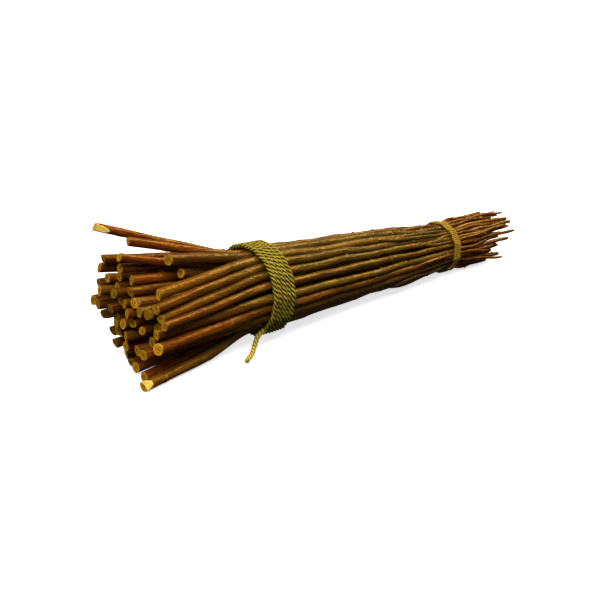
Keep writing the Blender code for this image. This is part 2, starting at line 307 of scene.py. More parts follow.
def make_bark(name, colour, cut_colour):
    """Thin glossy bark: streaks along the twig, blotches, pale specks, and bare wood where cut."""
    material, maker, shader = new_material(name)
    grain = maker.attribute("grain").outputs["Vector"]
    streaks = maker.noise(maker.stretch(grain, 55.0, 900.0), 1.0, 4.0, 0.6)
    blotches = maker.noise(maker.stretch(grain, 45.0, 120.0), 1.0, 2.0)
    tone = maker.attribute("tone").outputs["Fac"]
    scar = maker.attribute("scar").outputs["Fac"]
    cut = maker.attribute("cut").outputs["Fac"]
    bark = maker.blend(maker.fit(streaks, 0.32, 0.68), darker(colour, 0.42), darker(colour, 1.5))
    bark = maker.blend(maker.fit(blotches, 0.45, 0.75, 0.0, 0.65), bark, darker(colour, 0.3))
    golden = (colour[0] * 1.35, colour[1] * 1.7, colour[2] * 1.4)
    patches = maker.noise(maker.stretch(grain, 14.0, 60.0), 1.0, 2.0)
    bark = maker.blend(maker.fit(patches, 0.45, 0.7, 0.0, 0.5), bark, golden)
    warm = maker.attribute("warm").outputs["Fac"]
    bark = maker.blend(warm, bark, maker.vector("MULTIPLY", bark, (1.12, 0.71, 0.38)))
    specks = maker.add(
        "ShaderNodeTexVoronoi",
        {"Vector": maker.stretch(grain, 110.0, 300.0), "Scale": 1.0, "Randomness": 1.0},
    ).outputs["Distance"]
    spotted = maker.fit(specks, 0.05, 0.12, 0.4, 0.0)
    pale = (colour[0] * 1.3 + 0.14, colour[1] * 1.6 + 0.11, colour[2] * 1.5 + 0.03)
    bark = maker.blend(spotted, bark, pale)
    healed = (colour[0] + 0.25, colour[1] + 0.18, colour[2] + 0.04)
    ragged = maker.math("ADD", scar, maker.math("MULTIPLY", maker.noise(grain, 900.0), 0.5))
    bark = maker.blend(maker.fit(ragged, 0.66, 1.05, 0.0, 0.75), bark, healed)
    # each twig's tone: its own lighter or darker bark, and for twigs not listed in TONES a lean to
    # dark that is painted shade
    lighter = maker.fit(tone, -1.0, 1.0, 0.55, 1.45)
    bark = maker.vector("SCALE", bark, scale=lighter)
    wood_noise = maker.noise(maker.stretch(grain, 60.0, 1500.0), 1.0, 3.0)
    # fresh turns dull cuts towards ochre; above 1 it lightens the bare wood past its own colour, a
    # painted highlight
    fresh = maker.attribute("fresh").outputs["Fac"]
    ochre = (cut_colour[0] * 0.8, cut_colour[1] * 0.55, cut_colour[2] * 0.3)
    wood = maker.blend(maker.fit(fresh, 0.9, 1.2), ochre, cut_colour)
    uneven_fresh_and_lit = maker.math("MULTIPLY", fresh, maker.fit(wood_noise, 0.0, 1.0, 0.75, 1.2))
    wood = maker.vector("SCALE", wood, scale=uneven_fresh_and_lit)
    surface = maker.blend(maker.fit(cut, 0.35, 0.65), bark, wood)
    height = maker.math("ADD", streaks, maker.math("MULTIPLY", spotted, 0.5))
    fine = maker.add("ShaderNodeBump", {"Strength": 0.6, "Distance": 0.00025, "Height": height})
    lumps = maker.noise(maker.stretch(grain, 260.0, 620.0), 1.0, 2.0)
    bump = maker.add("ShaderNodeBump", {
        "Strength": 0.7, "Distance": 0.0009, "Height": lumps, "Normal": fine.outputs[0],
    })
    connect(maker, shader, Base_Color=surface, Roughness=maker.fit(streaks, 0.3, 0.7, 0.2, 0.36))
    connect(maker, shader, Normal=bump.outputs[0])
    shader.inputs["Specular IOR Level"].default_value = 0.7
    shader.inputs["Specular Tint"].default_value = (1.0, 0.62, 0.16, 1.0)
    return material


def make_cut_wood(name, colour):
    """An end grain face: brown pith, a few rings, and a pale edge under the bark."""
    material, maker, shader = new_material(name)
    grain = maker.attribute("grain").outputs["Vector"]
    across = maker.vector("MULTIPLY", grain, (0.0, 1.0, 1.0))
    reach = maker.add("ShaderNodeVectorMath", {0: across}, operation="LENGTH").outputs["Value"]
    part = maker.math("DIVIDE", reach, maker.attribute("girth").outputs["Fac"])
    wavy = maker.math("ADD", part, maker.math("MULTIPLY", maker.noise(across, 900.0), 0.12))
    ramp = maker.add("ShaderNodeValToRGB", {"Fac": wavy})
    stops = (
        (0.0, darker(colour, 0.6)),
        (0.1, darker(colour, 0.5)),
        (0.15, darker(colour, 0.2)),
        (0.24, darker(colour, 0.25)),
        (0.33, darker(colour, 1.1)),
        (0.62, darker(colour, 0.6)),
        (0.72, darker(colour, 1.1)),
        (0.86, darker(colour, 0.75)),
        (0.96, darker(colour, 1.6)),
        (1.0, darker(colour, 1.1)),
    )
    ramp.color_ramp.elements[0].position = stops[0][0]
    ramp.color_ramp.elements[0].color = (*stops[0][1], 1.0)
    ramp.color_ramp.elements[1].position = stops[-1][0]
    ramp.color_ramp.elements[1].color = (*stops[-1][1], 1.0)
    for place, stop_colour in stops[1:-1]:
        element = ramp.color_ramp.elements.new(place)
        element.color = (*stop_colour, 1.0)
    saw_marks = maker.noise(maker.vector("MULTIPLY", grain, (1.0, 2500.0, 700.0)), 1.0, 3.0)
    chipped = maker.noise(grain, 420.0, 2.0)
    sawn = maker.fit(saw_marks, 0.3, 0.7, 0.0, 0.5)
    face = maker.blend(sawn, ramp.outputs[0], darker(colour, 0.5))
    face = maker.blend(maker.fit(chipped, 0.5, 0.68, 0.0, 0.8), face, darker(colour, 0.25))
    # each twig's tone: its own lighter or darker wood, and for twigs not listed in TONES a lean to
    # dark that is painted shade
    tone = maker.attribute("tone").outputs["Fac"]
    face = maker.vector("SCALE", face, scale=maker.fit(tone, -1.0, 1.0, 0.45, 1.35))
    bump = maker.add("ShaderNodeBump", {"Strength": 0.6, "Distance": 0.0003, "Height": saw_marks})
    connect(maker, shader, Base_Color=face, Normal=bump.outputs[0])
    shader.inputs["Roughness"].default_value = 0.75
    shader.inputs["Specular IOR Level"].default_value = 0.15
    return material


def make_fibre(name, colour, groove_shade_colour, twists):
    """Plant fibre laid in yarns: fine hairs along the strand, and painted shade down in the grooves
    between the strands and between the yarns.
    """
    material, maker, shader = new_material(name)
    grain = maker.attribute("grain").outputs["Vector"]
    parts = maker.add("ShaderNodeSeparateXYZ", {0: grain})
    turn = maker.math("ARCTAN2", parts.outputs[2], parts.outputs[1])
    lean = maker.math("MULTIPLY", parts.outputs[0], twists * math.tau)
    yarns = maker.math("SINE", maker.math("ADD", maker.math("MULTIPLY", turn, 5.0), lean))
    hairs = maker.noise(maker.vector("MULTIPLY", grain, (260.0, 7.0, 7.0)), 1.0, 4.0, 0.65)
    patches = maker.noise(maker.vector("MULTIPLY", grain, (70.0, 0.6, 0.6)), 1.0, 2.0)
    depth = maker.attribute("depth").outputs["Fac"]
    fibre = maker.blend(maker.fit(hairs, 0.3, 0.7), darker(colour, 0.6), darker(colour, 1.35))
    # painted shade: the troughs between the yarns take the groove colour
    fibre = maker.blend(maker.fit(yarns, -1.0, -0.2, 0.6, 0.0), fibre, darker(groove_shade_colour, 1.0))
    fibre = maker.blend(maker.fit(patches, 0.45, 0.7, 0.0, 0.35), fibre, darker(groove_shade_colour, 1.6))
    # painted shade: where a strand's surface turns into the rope, towards the grooves between the
    # strands, it takes the groove colour
    fibre = maker.blend(maker.fit(depth, 0.62, 1.0, 1.0, 0.0), fibre, groove_shade_colour)
    height = maker.math("ADD", maker.math("MULTIPLY", yarns, 0.6), hairs)
    bump = maker.add("ShaderNodeBump", {"Strength": 0.7, "Distance": 0.0003, "Height": height})
    connect(maker, shader, Base_Color=fibre, Normal=bump.outputs[0])
    shader.inputs["Roughness"].default_value = 0.7
    shader.inputs["Specular IOR Level"].default_value = 0.25
    shader.inputs["Specular Tint"].default_value = (1.0, 0.85, 0.3, 1.0)
    return material


def new_geometry_tree(name, inputs):
    """A tree with geometry in and out and inputs given as (name, type, default).

    Comes with its node maker, its inputs' sockets by name, and its output node.
    """
    tree = bpy.data.node_groups.new(name, "GeometryNodeTree")
    tree.interface.new_socket("Geometry", in_out="INPUT", socket_type="NodeSocketGeometry")
    tree.interface.new_socket("Geometry", in_out="OUTPUT", socket_type="NodeSocketGeometry")
    for label, kind, default in inputs:
        socket = tree.interface.new_socket(label, in_out="INPUT", socket_type=kind)
        if default is not None:
            socket.default_value = default
    maker = NodeMaker(tree)
    given = {socket.name: socket for socket in maker.add("NodeGroupInput").outputs}
    return tree, maker, given, maker.add("NodeGroupOutput")


def close_tree(maker, out, made, material, base=None, smooth=False):
    """Ends a tree: what it made, as plain geometry with its material, joined to its base."""
    made = maker.get("GeometryNodeRealizeInstances", {0: made})
    if smooth:
        made = maker.get("GeometryNodeSetShadeSmooth", {0: made})
    made = maker.get("GeometryNodeSetMaterial", {0: made, "Material": material})
    if base is not None:
        joined = maker.add("GeometryNodeJoinGeometry", {0: base})
        maker.tree.links.new(made, joined.inputs[0])
        made = joined.outputs[0]
    maker.tree.links.new(made, out.inputs[0])


def capture(maker, geometry, kind, value):
    """The geometry with a value kept on its points, and that value's socket."""
    node = maker.add("GeometryNodeCaptureAttribute", {0: geometry})
    node.capture_items.new(kind, "Kept")
    maker.tree.links.new(value, node.inputs[1])
    return node.outputs[0], node.outputs[1]


def laid_rope_tree():
    """Winds strands round the path: three thick threads, rounded off at both ends."""
    tree, maker, size, out = new_geometry_tree("laid_rope", (
        ("Rope Radius", "NodeSocketFloat", 0.0019),
        ("Strands", "NodeSocketInt", 3),
        ("Lay Length", "NodeSocketFloat", 0.0103),
        ("Strand Sides", "NodeSocketInt", 10),
        ("Step", "NodeSocketFloat", 0.0006),
        ("Fibre Relief", "NodeSocketFloat", 0.0002),
        ("End Rounding", "NodeSocketFloat", 0.0015),
        ("Material", "NodeSocketMaterial", None),
    ))
    path = maker.get("GeometryNodeMeshToCurve", {0: size["Geometry"]})
    path = maker.get(
        "GeometryNodeResampleCurve", {"Curve": path, "Length": size["Step"]}, mode="LENGTH"
    )
    copies = maker.add(
        "GeometryNodeDuplicateElements", {0: path, "Amount": size["Strands"]}, domain="SPLINE"
    )
    # strands fill the rope: centre circle and strand radius for touching strands
    share = maker.math("SINE", maker.math("DIVIDE", math.pi, size["Strands"]))
    strand_part = maker.math("DIVIDE", share, maker.math("ADD", share, 1.0))
    strand_radius = maker.math("MULTIPLY", size["Rope Radius"], strand_part)
    centre_radius = maker.math("SUBTRACT", size["Rope Radius"], strand_radius)
    length = maker.add("GeometryNodeSplineParameter").outputs["Length"]
    total = maker.add("GeometryNodeSplineLength").outputs["Length"]
    rest = maker.math("MINIMUM", length, maker.math("SUBTRACT", total, length))
    near_end = maker.math("DIVIDE", rest, size["End Rounding"], clamp=True)
    left = maker.math("SUBTRACT", 1.0, near_end)
    fullness = maker.math("SQRT", maker.math("SUBTRACT", 1.0, maker.math("MULTIPLY", left, left)))
    fullness = maker.math("MAXIMUM", fullness, 0.05)
    around = maker.math("MULTIPLY", math.tau, maker.math("DIVIDE", length, size["Lay Length"]))
    step = maker.math("DIVIDE", math.tau, size["Strands"])
    turn = maker.math("ADD", around, maker.math("MULTIPLY", step, copies.outputs[1]))
    tangent = maker.get("GeometryNodeInputTangent")
    normal = maker.get("GeometryNodeInputNormal")
    side = maker.vector("CROSS_PRODUCT", tangent, normal)
    shift = maker.vector("ADD",
        maker.vector("SCALE", normal, scale=maker.math("COSINE", turn)),
        maker.vector("SCALE", side, scale=maker.math("SINE", turn)),
    )
    geometry, outward = capture(maker, copies.outputs[0], "VECTOR", shift)
    geometry, fullness = capture(maker, geometry, "FLOAT", fullness)
    geometry, along = capture(maker, geometry, "FLOAT", length)
    reach = maker.math("MULTIPLY", centre_radius, fullness)
    strand = maker.get("GeometryNodeSetPosition", {
        "Geometry": geometry, "Offset": maker.vector("SCALE", outward, scale=reach),
    })
    circle = maker.get(
        "GeometryNodeCurvePrimitiveCircle", {"Resolution": size["Strand Sides"], "Radius": 1.0}
    )
    place = maker.get("GeometryNodeInputPosition")
    circle, round_place = capture(maker, circle, "VECTOR", place)
    skin = maker.get("GeometryNodeCurveToMesh", {
        "Curve": strand, "Profile Curve": circle, "Fill Caps": True,
        "Scale": maker.math("MULTIPLY", strand_radius, fullness),
    })
    number = maker.math("MULTIPLY", copies.outputs[1], 3.7)
    spot = maker.add("ShaderNodeSeparateXYZ", {0: round_place})
    grain = maker.get("ShaderNodeCombineXYZ", {
        0: maker.math("ADD", along, number), 1: spot.outputs[0], 2: spot.outputs[1],
    })
    skin_normal = maker.get("GeometryNodeInputNormal")
    # how far each spot of a strand faces out of the rope; the fibre material paints shade where it
    # faces inward, into the grooves
    facing = maker.add(
        "ShaderNodeVectorMath", {0: skin_normal, 1: outward}, operation="DOT_PRODUCT"
    ).outputs["Value"]
    depth = maker.math("ADD", maker.math("MULTIPLY", facing, 0.5), 0.5)
    depth = maker.math("MAXIMUM", depth, maker.math("SUBTRACT", 1.0, fullness))
    skin, depth = capture(maker, skin, "FLOAT", depth)
    for label, kind, value in (("grain", "FLOAT_VECTOR", grain), ("depth", "FLOAT", depth)):
        skin = maker.get(
            "GeometryNodeStoreNamedAttribute", {"Geometry": skin, "Name": label, "Value": value},
            data_type=kind, domain="POINT",
        )
    hairs = maker.noise(maker.vector("MULTIPLY", grain, (420.0, 2.6, 2.6)), 1.0, 3.0)
    lift = maker.math("MULTIPLY", maker.math("SUBTRACT", hairs, 0.5), size["Fibre Relief"])
    skin = maker.get("GeometryNodeSetPosition", {
        "Geometry": skin,
        "Offset": maker.vector("SCALE", skin_normal, scale=maker.math("MULTIPLY", lift, fullness)),
    })
    close_tree(maker, out, skin, size["Material"], smooth=True)
    return tree


def loose_fibre_tree():
    """Stands short curved hairs on a rope's surface."""
    tree, maker, size, out = new_geometry_tree("loose_fibres", (
        ("Hairs Per Area", "NodeSocketFloat", 20000.0),
        ("Hair Length", "NodeSocketFloat", 0.002),
        ("Hair Radius", "NodeSocketFloat", 0.00005),
        ("Seed", "NodeSocketInt", SEED),
        ("Material", "NodeSocketMaterial", None),
    ))
    rope = size["Geometry"]
    selection = maker.get("GeometryNodeInputNamedAttribute", {"Name": "depth"}, data_type="FLOAT")
    place = maker.get("GeometryNodeInputPosition")
    height = maker.add("ShaderNodeSeparateXYZ", {0: place}).outputs[2]
    chosen = maker.math(
        "MULTIPLY", maker.math("GREATER_THAN", selection, 0.6),
        maker.math("GREATER_THAN", height, maker.math("MULTIPLY", size["Hair Length"], 1.5)),
    )
    points = maker.add("GeometryNodeDistributePointsOnFaces", {
        "Mesh": rope, "Selection": chosen,
        "Density": size["Hairs Per Area"], "Seed": size["Seed"],
    })
    hair = maker.get("GeometryNodeCurveQuadraticBezier", {
        "Resolution": 4, "Start": (0.0, 0.0, -0.1), "Middle": (0.1, 0.0, 0.6),
        "End": (0.75, 0.1, 0.8),
    })
    circle = maker.get("GeometryNodeCurvePrimitiveCircle", {"Resolution": 3, "Radius": 1.0})
    thin = maker.math("DIVIDE", size["Hair Radius"], size["Hair Length"])
    hair = maker.get("GeometryNodeCurveToMesh", {
        "Curve": hair, "Profile Curve": circle, "Scale": thin, "Fill Caps": True,
    })
    spin = maker.add("FunctionNodeRandomValue", {"Seed": size["Seed"]}, data_type="FLOAT")
    spin.inputs[3].default_value = math.tau
    spun = maker.get("FunctionNodeAxisAngleToRotation", {
        "Axis": (0.0, 0.0, 1.0), "Angle": spin.outputs[1],
    })
    rotation = maker.get("FunctionNodeRotateRotation", {
        0: points.outputs["Rotation"], 1: spun,
    }, rotation_space="LOCAL")
    reach = maker.add("FunctionNodeRandomValue", {"Seed": SEED + 1}, data_type="FLOAT")
    reach.inputs[2].default_value = 0.4
    reach.inputs[3].default_value = 1.2
    length = maker.math("MULTIPLY", size["Hair Length"], reach.outputs[1])
    scale = maker.get("ShaderNodeCombineXYZ", {0: length, 1: length, 2: length})
    hairs = maker.get("GeometryNodeInstanceOnPoints", {
        "Points": points.outputs["Points"], "Instance": hair, "Rotation": rotation, "Scale": scale,
    })
    close_tree(maker, out, hairs, size["Material"], base=rope)
    return tree


def bud_tree():
    """Sets a bud at every point that is marked for one, pointing along the twig."""
    tree, maker, size, out = new_geometry_tree("twig_buds", (
        ("Bud Length", "NodeSocketFloat", 0.0035),
        ("Bud Width", "NodeSocketFloat", 0.0011),
        ("Material", "NodeSocketMaterial", None),
    ))
    marked = maker.get("GeometryNodeInputNamedAttribute", {"Name": "bud"}, data_type="FLOAT")
    normal = maker.get("GeometryNodeInputNormal")
    skin, outward = capture(maker, size["Geometry"], "VECTOR", normal)
    points = maker.get("GeometryNodeMeshToPoints", {
        "Mesh": skin, "Selection": maker.math("GREATER_THAN", marked, 0.001), "Radius": 0.0,
    })
    pointed = maker.get("GeometryNodeMeshIcoSphere", {"Radius": 1.0, "Subdivisions": 2})
    place = maker.get("GeometryNodeInputPosition")
    spot = maker.add("ShaderNodeSeparateXYZ", {0: place})
    taper = maker.fit(spot.outputs[0], -1.0, 1.0, 1.25, 0.25)
    shaped = maker.get("ShaderNodeCombineXYZ", {
        0: spot.outputs[0],
        1: maker.math("MULTIPLY", spot.outputs[1], taper),
        2: maker.math("MULTIPLY", spot.outputs[2], taper),
    })
    bud = maker.get("GeometryNodeSetPosition", {"Geometry": pointed, "Position": shaped})
    lie = maker.get("FunctionNodeAlignRotationToVector", {"Vector": tuple(ALONG)}, axis="X")
    lie = maker.get(
        "FunctionNodeAlignRotationToVector", {"Rotation": lie, "Vector": outward},
        axis="Z", pivot_axis="X",
    )
    scale = maker.get("ShaderNodeCombineXYZ", {
        0: maker.math("MULTIPLY", size["Bud Length"], maker.math("MULTIPLY", marked, 0.5)),
        1: maker.math("MULTIPLY", size["Bud Width"], marked),
        2: maker.math("MULTIPLY", size["Bud Width"], maker.math("MULTIPLY", marked, 0.75)),
    })
    buds = maker.get("GeometryNodeInstanceOnPoints", {
        "Points": points, "Instance": bud, "Rotation": lie, "Scale": scale,
    })
    close_tree(maker, out, buds, size["Material"], base=skin, smooth=True)
    return tree


def run_tree(mesh, tree, values):
    """The plain mesh that a tree makes of a mesh, with its inputs given by name."""
    holder = bpy.data.objects.new("holder", mesh)
    bpy.context.scene.collection.objects.link(holder)
    modifier = holder.modifiers.new("tree", "NODES")
    modifier.node_group = tree
    for item in tree.interface.items_tree:
        if item.item_type == "SOCKET" and item.in_out == "INPUT" and item.name in values:
            modifier[item.identifier] = values[item.name]
    graph = bpy.context.evaluated_depsgraph_get()
    made = bpy.data.meshes.new_from_object(holder.evaluated_get(graph), depsgraph=graph)
    holder.modifiers.clear()
    bpy.data.objects.remove(holder)
    return made


def path_mesh(places):
    """A line of edges through places in the bundle's own millimetres."""
    mesh = bpy.data.meshes.new("path")
    points = to_world(places)
    edges = [(index, index + 1) for index in range(len(points) - 1)]
    mesh.from_pydata([tuple(point) for point in points], edges, [])
    return mesh


def finished(name, mesh):
    """A new object at the origin, linked to the scene."""
    piece = bpy.data.objects.new(name, mesh)
    mesh.name = name
    bpy.context.scene.collection.objects.link(piece)
    return piece


def slot_of(node):
    """The record's material slot for a node."""
    rows = frame["record"]["subparts"]
    return next(row["material_slot"] for row in rows if row["node"] == node)


def over_corners(angle, corners, radius):
    """Reach at clock angles of a rope that runs straight between the twigs it bends over."""
    corners = np.radians(corners)
    corners = np.append(corners, corners[0] + math.tau)
    turned = (angle - corners[0]) % math.tau + corners[0]
    before = np.clip(np.searchsorted(corners, turned) - 1, 0, len(corners) - 2)
    middle = (corners[before] + corners[before + 1]) / 2
    half = (corners[before + 1] - corners[before]) / 2
    return (radius + OFF_CORNERS) * np.cos(half) / np.cos(turned - middle)


def uneven(progress, step, chance):
    """A random line that changes direction every step."""
    places = np.arange(0.0, progress[-1] + 2 * step, step)
    return np.interp(progress, places, chance.normal(0, 1, len(places)))


def wound_path(radius, thick, first, turns, pitch, begin, hidden, corners, chance, waver):
    """A rope laid in even turns, from a clock angle in degrees down the near side.

    Each turn keeps to its own place along the bundle, and steps over to the next within the part
    of a turn that hidden gives as (start, end). It never sinks into the surface.
    """
    progress = np.arange(int(turns * TURN_POINTS) + 1) / TURN_POINTS
    part = progress % 1.0
    lane = np.floor(progress) + smooth_step((part - hidden[0]) / (hidden[1] - hidden[0]))
    angle = math.radians(begin) - math.tau * progress
    reach = over_corners(angle, corners, radius) + waver * uneven(progress, 0.13, chance)
    along = first + pitch * lane + 1.2 * waver * uneven(progress, 0.17, chance)
    last = (len(reach) - np.arange(len(reach))) / TUCK_POINTS
    reach *= TUCKED + (1 - TUCKED) * smooth_step(last)
    up = reach * np.sin(angle)
    height = ORIGIN[2] / MM - along * math.sin(AXIS_DROP) + up * math.cos(AXIS_DROP)
    up += np.maximum(0.0, thick / 2 + OFF_SURFACE - height)
    return np.column_stack([along, reach * np.cos(angle), up])


def smooth_route(points, per_span):
    """Points on the smooth curve that runs through a route (Catmull-Rom spans)."""
    points = np.array(points, float)
    padded = np.vstack([2 * points[0] - points[1], points, 2 * points[-1] - points[-2]])
    out = []
    for span in range(len(points) - 1):
        a, b, c, d = padded[span:span + 4]
        for step in range(per_span):
            t = step / per_span
            bend = 2 * a - 5 * b + 4 * c - d
            twist = 3 * b - a - 3 * c + d
            out.append((2 * b + (c - a) * t + bend * t ** 2 + twist * t ** 3) / 2)
    out.append(points[-1])
    return np.array(out)


def read_rings(node):
    """A twig's rings from its solid: rows of along, aside, up and radius, butt first."""
    mesh = frame["nodes"][node].data
    corners = np.array([vertex.co for vertex in mesh.vertices])
    corners = to_bundle(np.unique(np.round(corners, 6), axis=0))
    if len(corners) % RING_CORNERS:
        raise RuntimeError(f"{node} isn't made of rings of {RING_CORNERS} corners")
    rings = corners[np.argsort(corners[:, 0])].reshape(-1, RING_CORNERS, 3)
    centres = rings.mean(axis=1)
    radii = np.linalg.norm(rings - centres[:, None], axis=2).mean(axis=1)
    return np.column_stack([centres, radii])


def through(stations, places):
    """Aside and up at places along, on the smooth curve through a twig's stations."""
    along = stations[:, 0]
    side = stations[:, 1:3]
    slope = np.gradient(side, along, axis=0)
    before = np.clip(np.searchsorted(along, places) - 1, 0, len(along) - 2)
    run = (along[before + 1] - along[before])[:, None]
    t = np.clip((places - along[before])[:, None] / run, 0.0, 1.0)
    start = side[before]
    end = side[before + 1]
    return (
        (2 * t ** 3 - 3 * t ** 2 + 1) * start
        + (t ** 3 - 2 * t ** 2 + t) * run * slope[before]
        + (3 * t ** 2 - 2 * t ** 3) * end
        + (t ** 3 - t ** 2) * run * slope[before + 1]
    )


class Paths:
    """Where the twigs and their side shoots run: crooked paths that don't cut each other."""

    PLANE_GAP = 3.0
    SWEEPS = 90

    # room between sticks and above the surface, and how little a crowded stick is held back
    FREE_GAP = 0.02
    SURFACE_GAP = 0.15
    CROWD_SHARE = 0.6

    # where shoots leave their twig, and how far on they are inside it and then beside it
    SHOOTS_FROM = 112.0
    SHOOTS_TO = 236.0
    INSIDE = 8.0
    LEAVING = 24.0

    # a shoot's largest thickness, its part of the twig's and what is left at its end, as radii
    SHOOT_LARGEST = 1.55
    SHOOT_PART = 0.72
    SHOOT_END = 1.05

    def __init__(self, chance, crook, shoots_each):
        self.stations = [read_rings(node) for node in TWIG_NODES]
        first = min(rows[0, 0] for rows in self.stations)
        last = max(rows[-1, 0] for rows in self.stations)
        self.planes = np.arange(first, last + self.PLANE_GAP, self.PLANE_GAP)
        self.knots = [self.place_knots(rows, chance) for rows in self.stations]
        self.parents = [None] * len(self.stations)
        centres = []
        for rows, knots in zip(self.stations, self.knots):
            centres.append(through(rows, self.planes) + self.crooked(rows, knots, chance, crook))
        centres = self.push_apart(np.array(centres), 0)
        for twig in range(len(TWIG_NODES)):
            centres = self.add_shoots(centres, twig, chance, crook, shoots_each)
        begin = np.searchsorted(self.planes, self.SHOOTS_FROM)
        self.centres = self.push_apart(centres, begin)

    def place_knots(self, rows, chance):
        """Places of the leaf knots along a twig: far apart at the butt, close at the tip."""
        place = rows[0, 0] + chance.uniform(14.0, 40.0)
        knots = []
        while place < rows[-1, 0] - 4.0:
            knots.append(place)
            place += chance.uniform(0.75, 1.25) * (38.0 - 22.0 * grown(place))
        return np.array(knots)

    def crooked(self, rows, knots, chance, crook):
        """A twig's own departures from its smooth curve, in every plane."""
        shift = np.zeros((len(self.planes), 2))
        for wave_length in (44.0, 71.0, 118.0):
            for axis in range(2):
                phase = chance.uniform(0, math.tau)
                size = crook * chance.uniform(0.3, 1.0) * wave_length / 90.0
                shift[:, axis] += size * np.sin(math.tau * self.planes / wave_length + phase)
        if len(knots):
            angle = chance.uniform(0, math.tau)
            zigzag = np.where(np.arange(len(knots)) % 2, 1.0, -1.0) * crook * 0.8
            kink = np.interp(self.planes, knots, zigzag)
            shift += np.outer(kink, (math.cos(angle), math.sin(angle)))
        free = smooth_step((self.planes - rows[0, 0] - 4.0) / 40.0)
        free *= 0.55 + 0.45 * smooth_step((self.planes - 5.0) / 60.0)
        free *= 1 - 0.8 * np.exp(-((self.planes - 10) / 16.0) ** 2)
        free *= 1 - 0.6 * np.exp(-((self.planes - 219) / 12.0) ** 2)
        splay = smooth_step((self.planes - 226.0) / 75.0)
        return shift * free[:, None] + np.outer(splay, chance.normal(0.0, 2.0, 2))

    def add_shoots(self, centres, twig, chance, crook, shoots_each):
        """Side shoots that leave a twig at its knots and run beside it to the thin end."""
        rows = self.stations[twig]
        tie = centres[twig, np.searchsorted(self.planes, TIP_START)]
        outer = np.linalg.norm(tie) > 0.7 * TIP_OUTSIDE
        outward = math.atan2(tie[1], tie[0])
        knots = [knot for knot in self.knots[twig] if self.SHOOTS_FROM < knot < self.SHOOTS_TO]
        chance.shuffle(knots)
        wanted = int(shoots_each * (1.5 if outer else 0.6) + chance.uniform(0.0, 1.0))
        side = chance.choice((-1.0, 1.0))
        for knot in knots[:wanted]:
            turn = outward + side * chance.uniform(0.9, 1.6)
            side = -side
            thick = np.interp(knot, rows[:, 0], rows[:, 3])
            start_radius = min(self.SHOOT_LARGEST, self.SHOOT_PART * thick)
            end = rows[-1, 0] + chance.uniform(-24.0, 4.0)
            own = np.array(((knot, 0.0, 0.0, start_radius), (end, 0.0, 0.0, self.SHOOT_END)))
            own_knots = self.place_knots(own, chance)
            away = (thick + start_radius) * smooth_step((self.planes - knot) / self.LEAVING)
            path = centres[twig] + np.outer(away, (math.cos(turn), math.sin(turn)))
            path += 1.3 * self.crooked(own, own_knots, chance, crook)
            centres = np.concatenate([centres, path[None]])
            self.stations.append(own)
            self.knots.append(own_knots)
            self.parents.append(twig)
        return centres

    def meeting(self, planes):
        """Where each path is there, and where each pair of them has to be kept apart."""
        starts = np.array([rows[0, 0] for rows in self.stations])[:, None]
        ends = np.array([rows[-1, 0] for rows in self.stations])[:, None]
        there = (planes > starts - 2) & (planes < ends + 2)
        both = there[:, None] & there[None] & ~np.eye(len(there), dtype=bool)[..., None]
        for shoot, parent in enumerate(self.parents):
            if parent is not None:
                inside = planes < starts[shoot, 0] + self.INSIDE
                both[shoot, :, inside] = False
                both[:, shoot, inside] = False
                leaving = planes < starts[shoot, 0] + self.LEAVING
                both[shoot, parent, leaving] = False
                both[parent, shoot, leaving] = False
        return there, both

    def push_apart(self, centres, begin):
        """The paths, cleared of each other, the bindings and the surface from one plane on."""
        planes = self.planes[begin:]
        base = centres[:, begin:]
        radius = np.array([np.interp(planes, rows[:, 0], rows[:, 3]) for rows in self.stations])
        there, both = self.meeting(planes)
        slope = np.gradient(base, self.PLANE_GAP, axis=1)
        stretch = np.sqrt(1 + (slope ** 2).sum(2))
        need = radius[:, None] + radius[None] + self.FREE_GAP
        need = need * (stretch[:, None] + stretch[None]) / 2
        girth = np.full(len(planes), FREE_GIRTH)
        girth[(planes > -4) & (planes < FORE_WIDTH + 4)] = FORE_OUTSIDE - FORE_DEPTH
        tied = (planes > TIP_START - 3) & (planes < TIP_START + TIP_WIDTH + 3)
        girth[tied] = TIP_OUTSIDE - TIP_DEPTH
        height = ORIGIN[2] / MM - planes * math.sin(AXIS_DROP)
        ease = smooth_step((planes - planes[0]) / 30.0) if begin else np.ones(len(planes))
        shift = np.zeros_like(base)
        for _ in range(self.SWEEPS):
            place = base + shift
            apart = place[:, None] - place[None]
            distance = np.sqrt((apart ** 2).sum(3)) + 1e-9
            overlap = np.where(both, np.maximum(0.0, need - distance), 0.0)
            push = ((overlap / distance / 2)[..., None] * apart).sum(1)
            push /= np.maximum(1.0, self.CROWD_SHARE * (overlap > 0).sum(1))[..., None]
            reach = np.sqrt((place ** 2).sum(2)) + 1e-9
            outside = np.where(there, np.maximum(0.0, reach + radius - girth), 0.0)
            push -= (outside / reach)[..., None] * place
            above = height + place[..., 1] * math.cos(AXIS_DROP)
            low = radius + self.SURFACE_GAP - above
            push[..., 1] += np.where(there, np.maximum(0.0, low), 0.0)
            shift += push * ease[:, None]
            even = shift.copy()
            even[:, 1:-1] = (shift[:, :-2] + 2 * shift[:, 1:-1] + shift[:, 2:]) / 4
            shift = 0.5 * shift + 0.5 * even
        moved = centres.copy()
        moved[:, begin:] += shift
        return moved

    def at(self, stick, places):
        """Centres in the bundle's own millimetres and radii at places along a twig or shoot."""
        rows = self.stations[stick]
        side = through(np.column_stack([self.planes, self.centres[stick]]), places)
        radius = np.interp(places, rows[:, 0], rows[:, 3])
        return np.column_stack([places, side]), radius


def ring_places(rows, knots, gap):
    """Places along a twig for the rings of its skin, close at both ends and at the knots."""
    start = rows[0, 0]
    end = rows[-1, 0]
    places = [start + BUTT_RINGS, np.arange(start + 16.0, end - 7.0, gap), end - TIP_RINGS]
    for knot in knots:
        if start + 15 < knot < end - 9:
            places.append(knot + KNOT_RINGS)
    places = np.sort(np.concatenate(places))
    keep = np.concatenate([[True], np.diff(places) > LEAST_GAP])
    keep[-1] = True
    return places[keep]


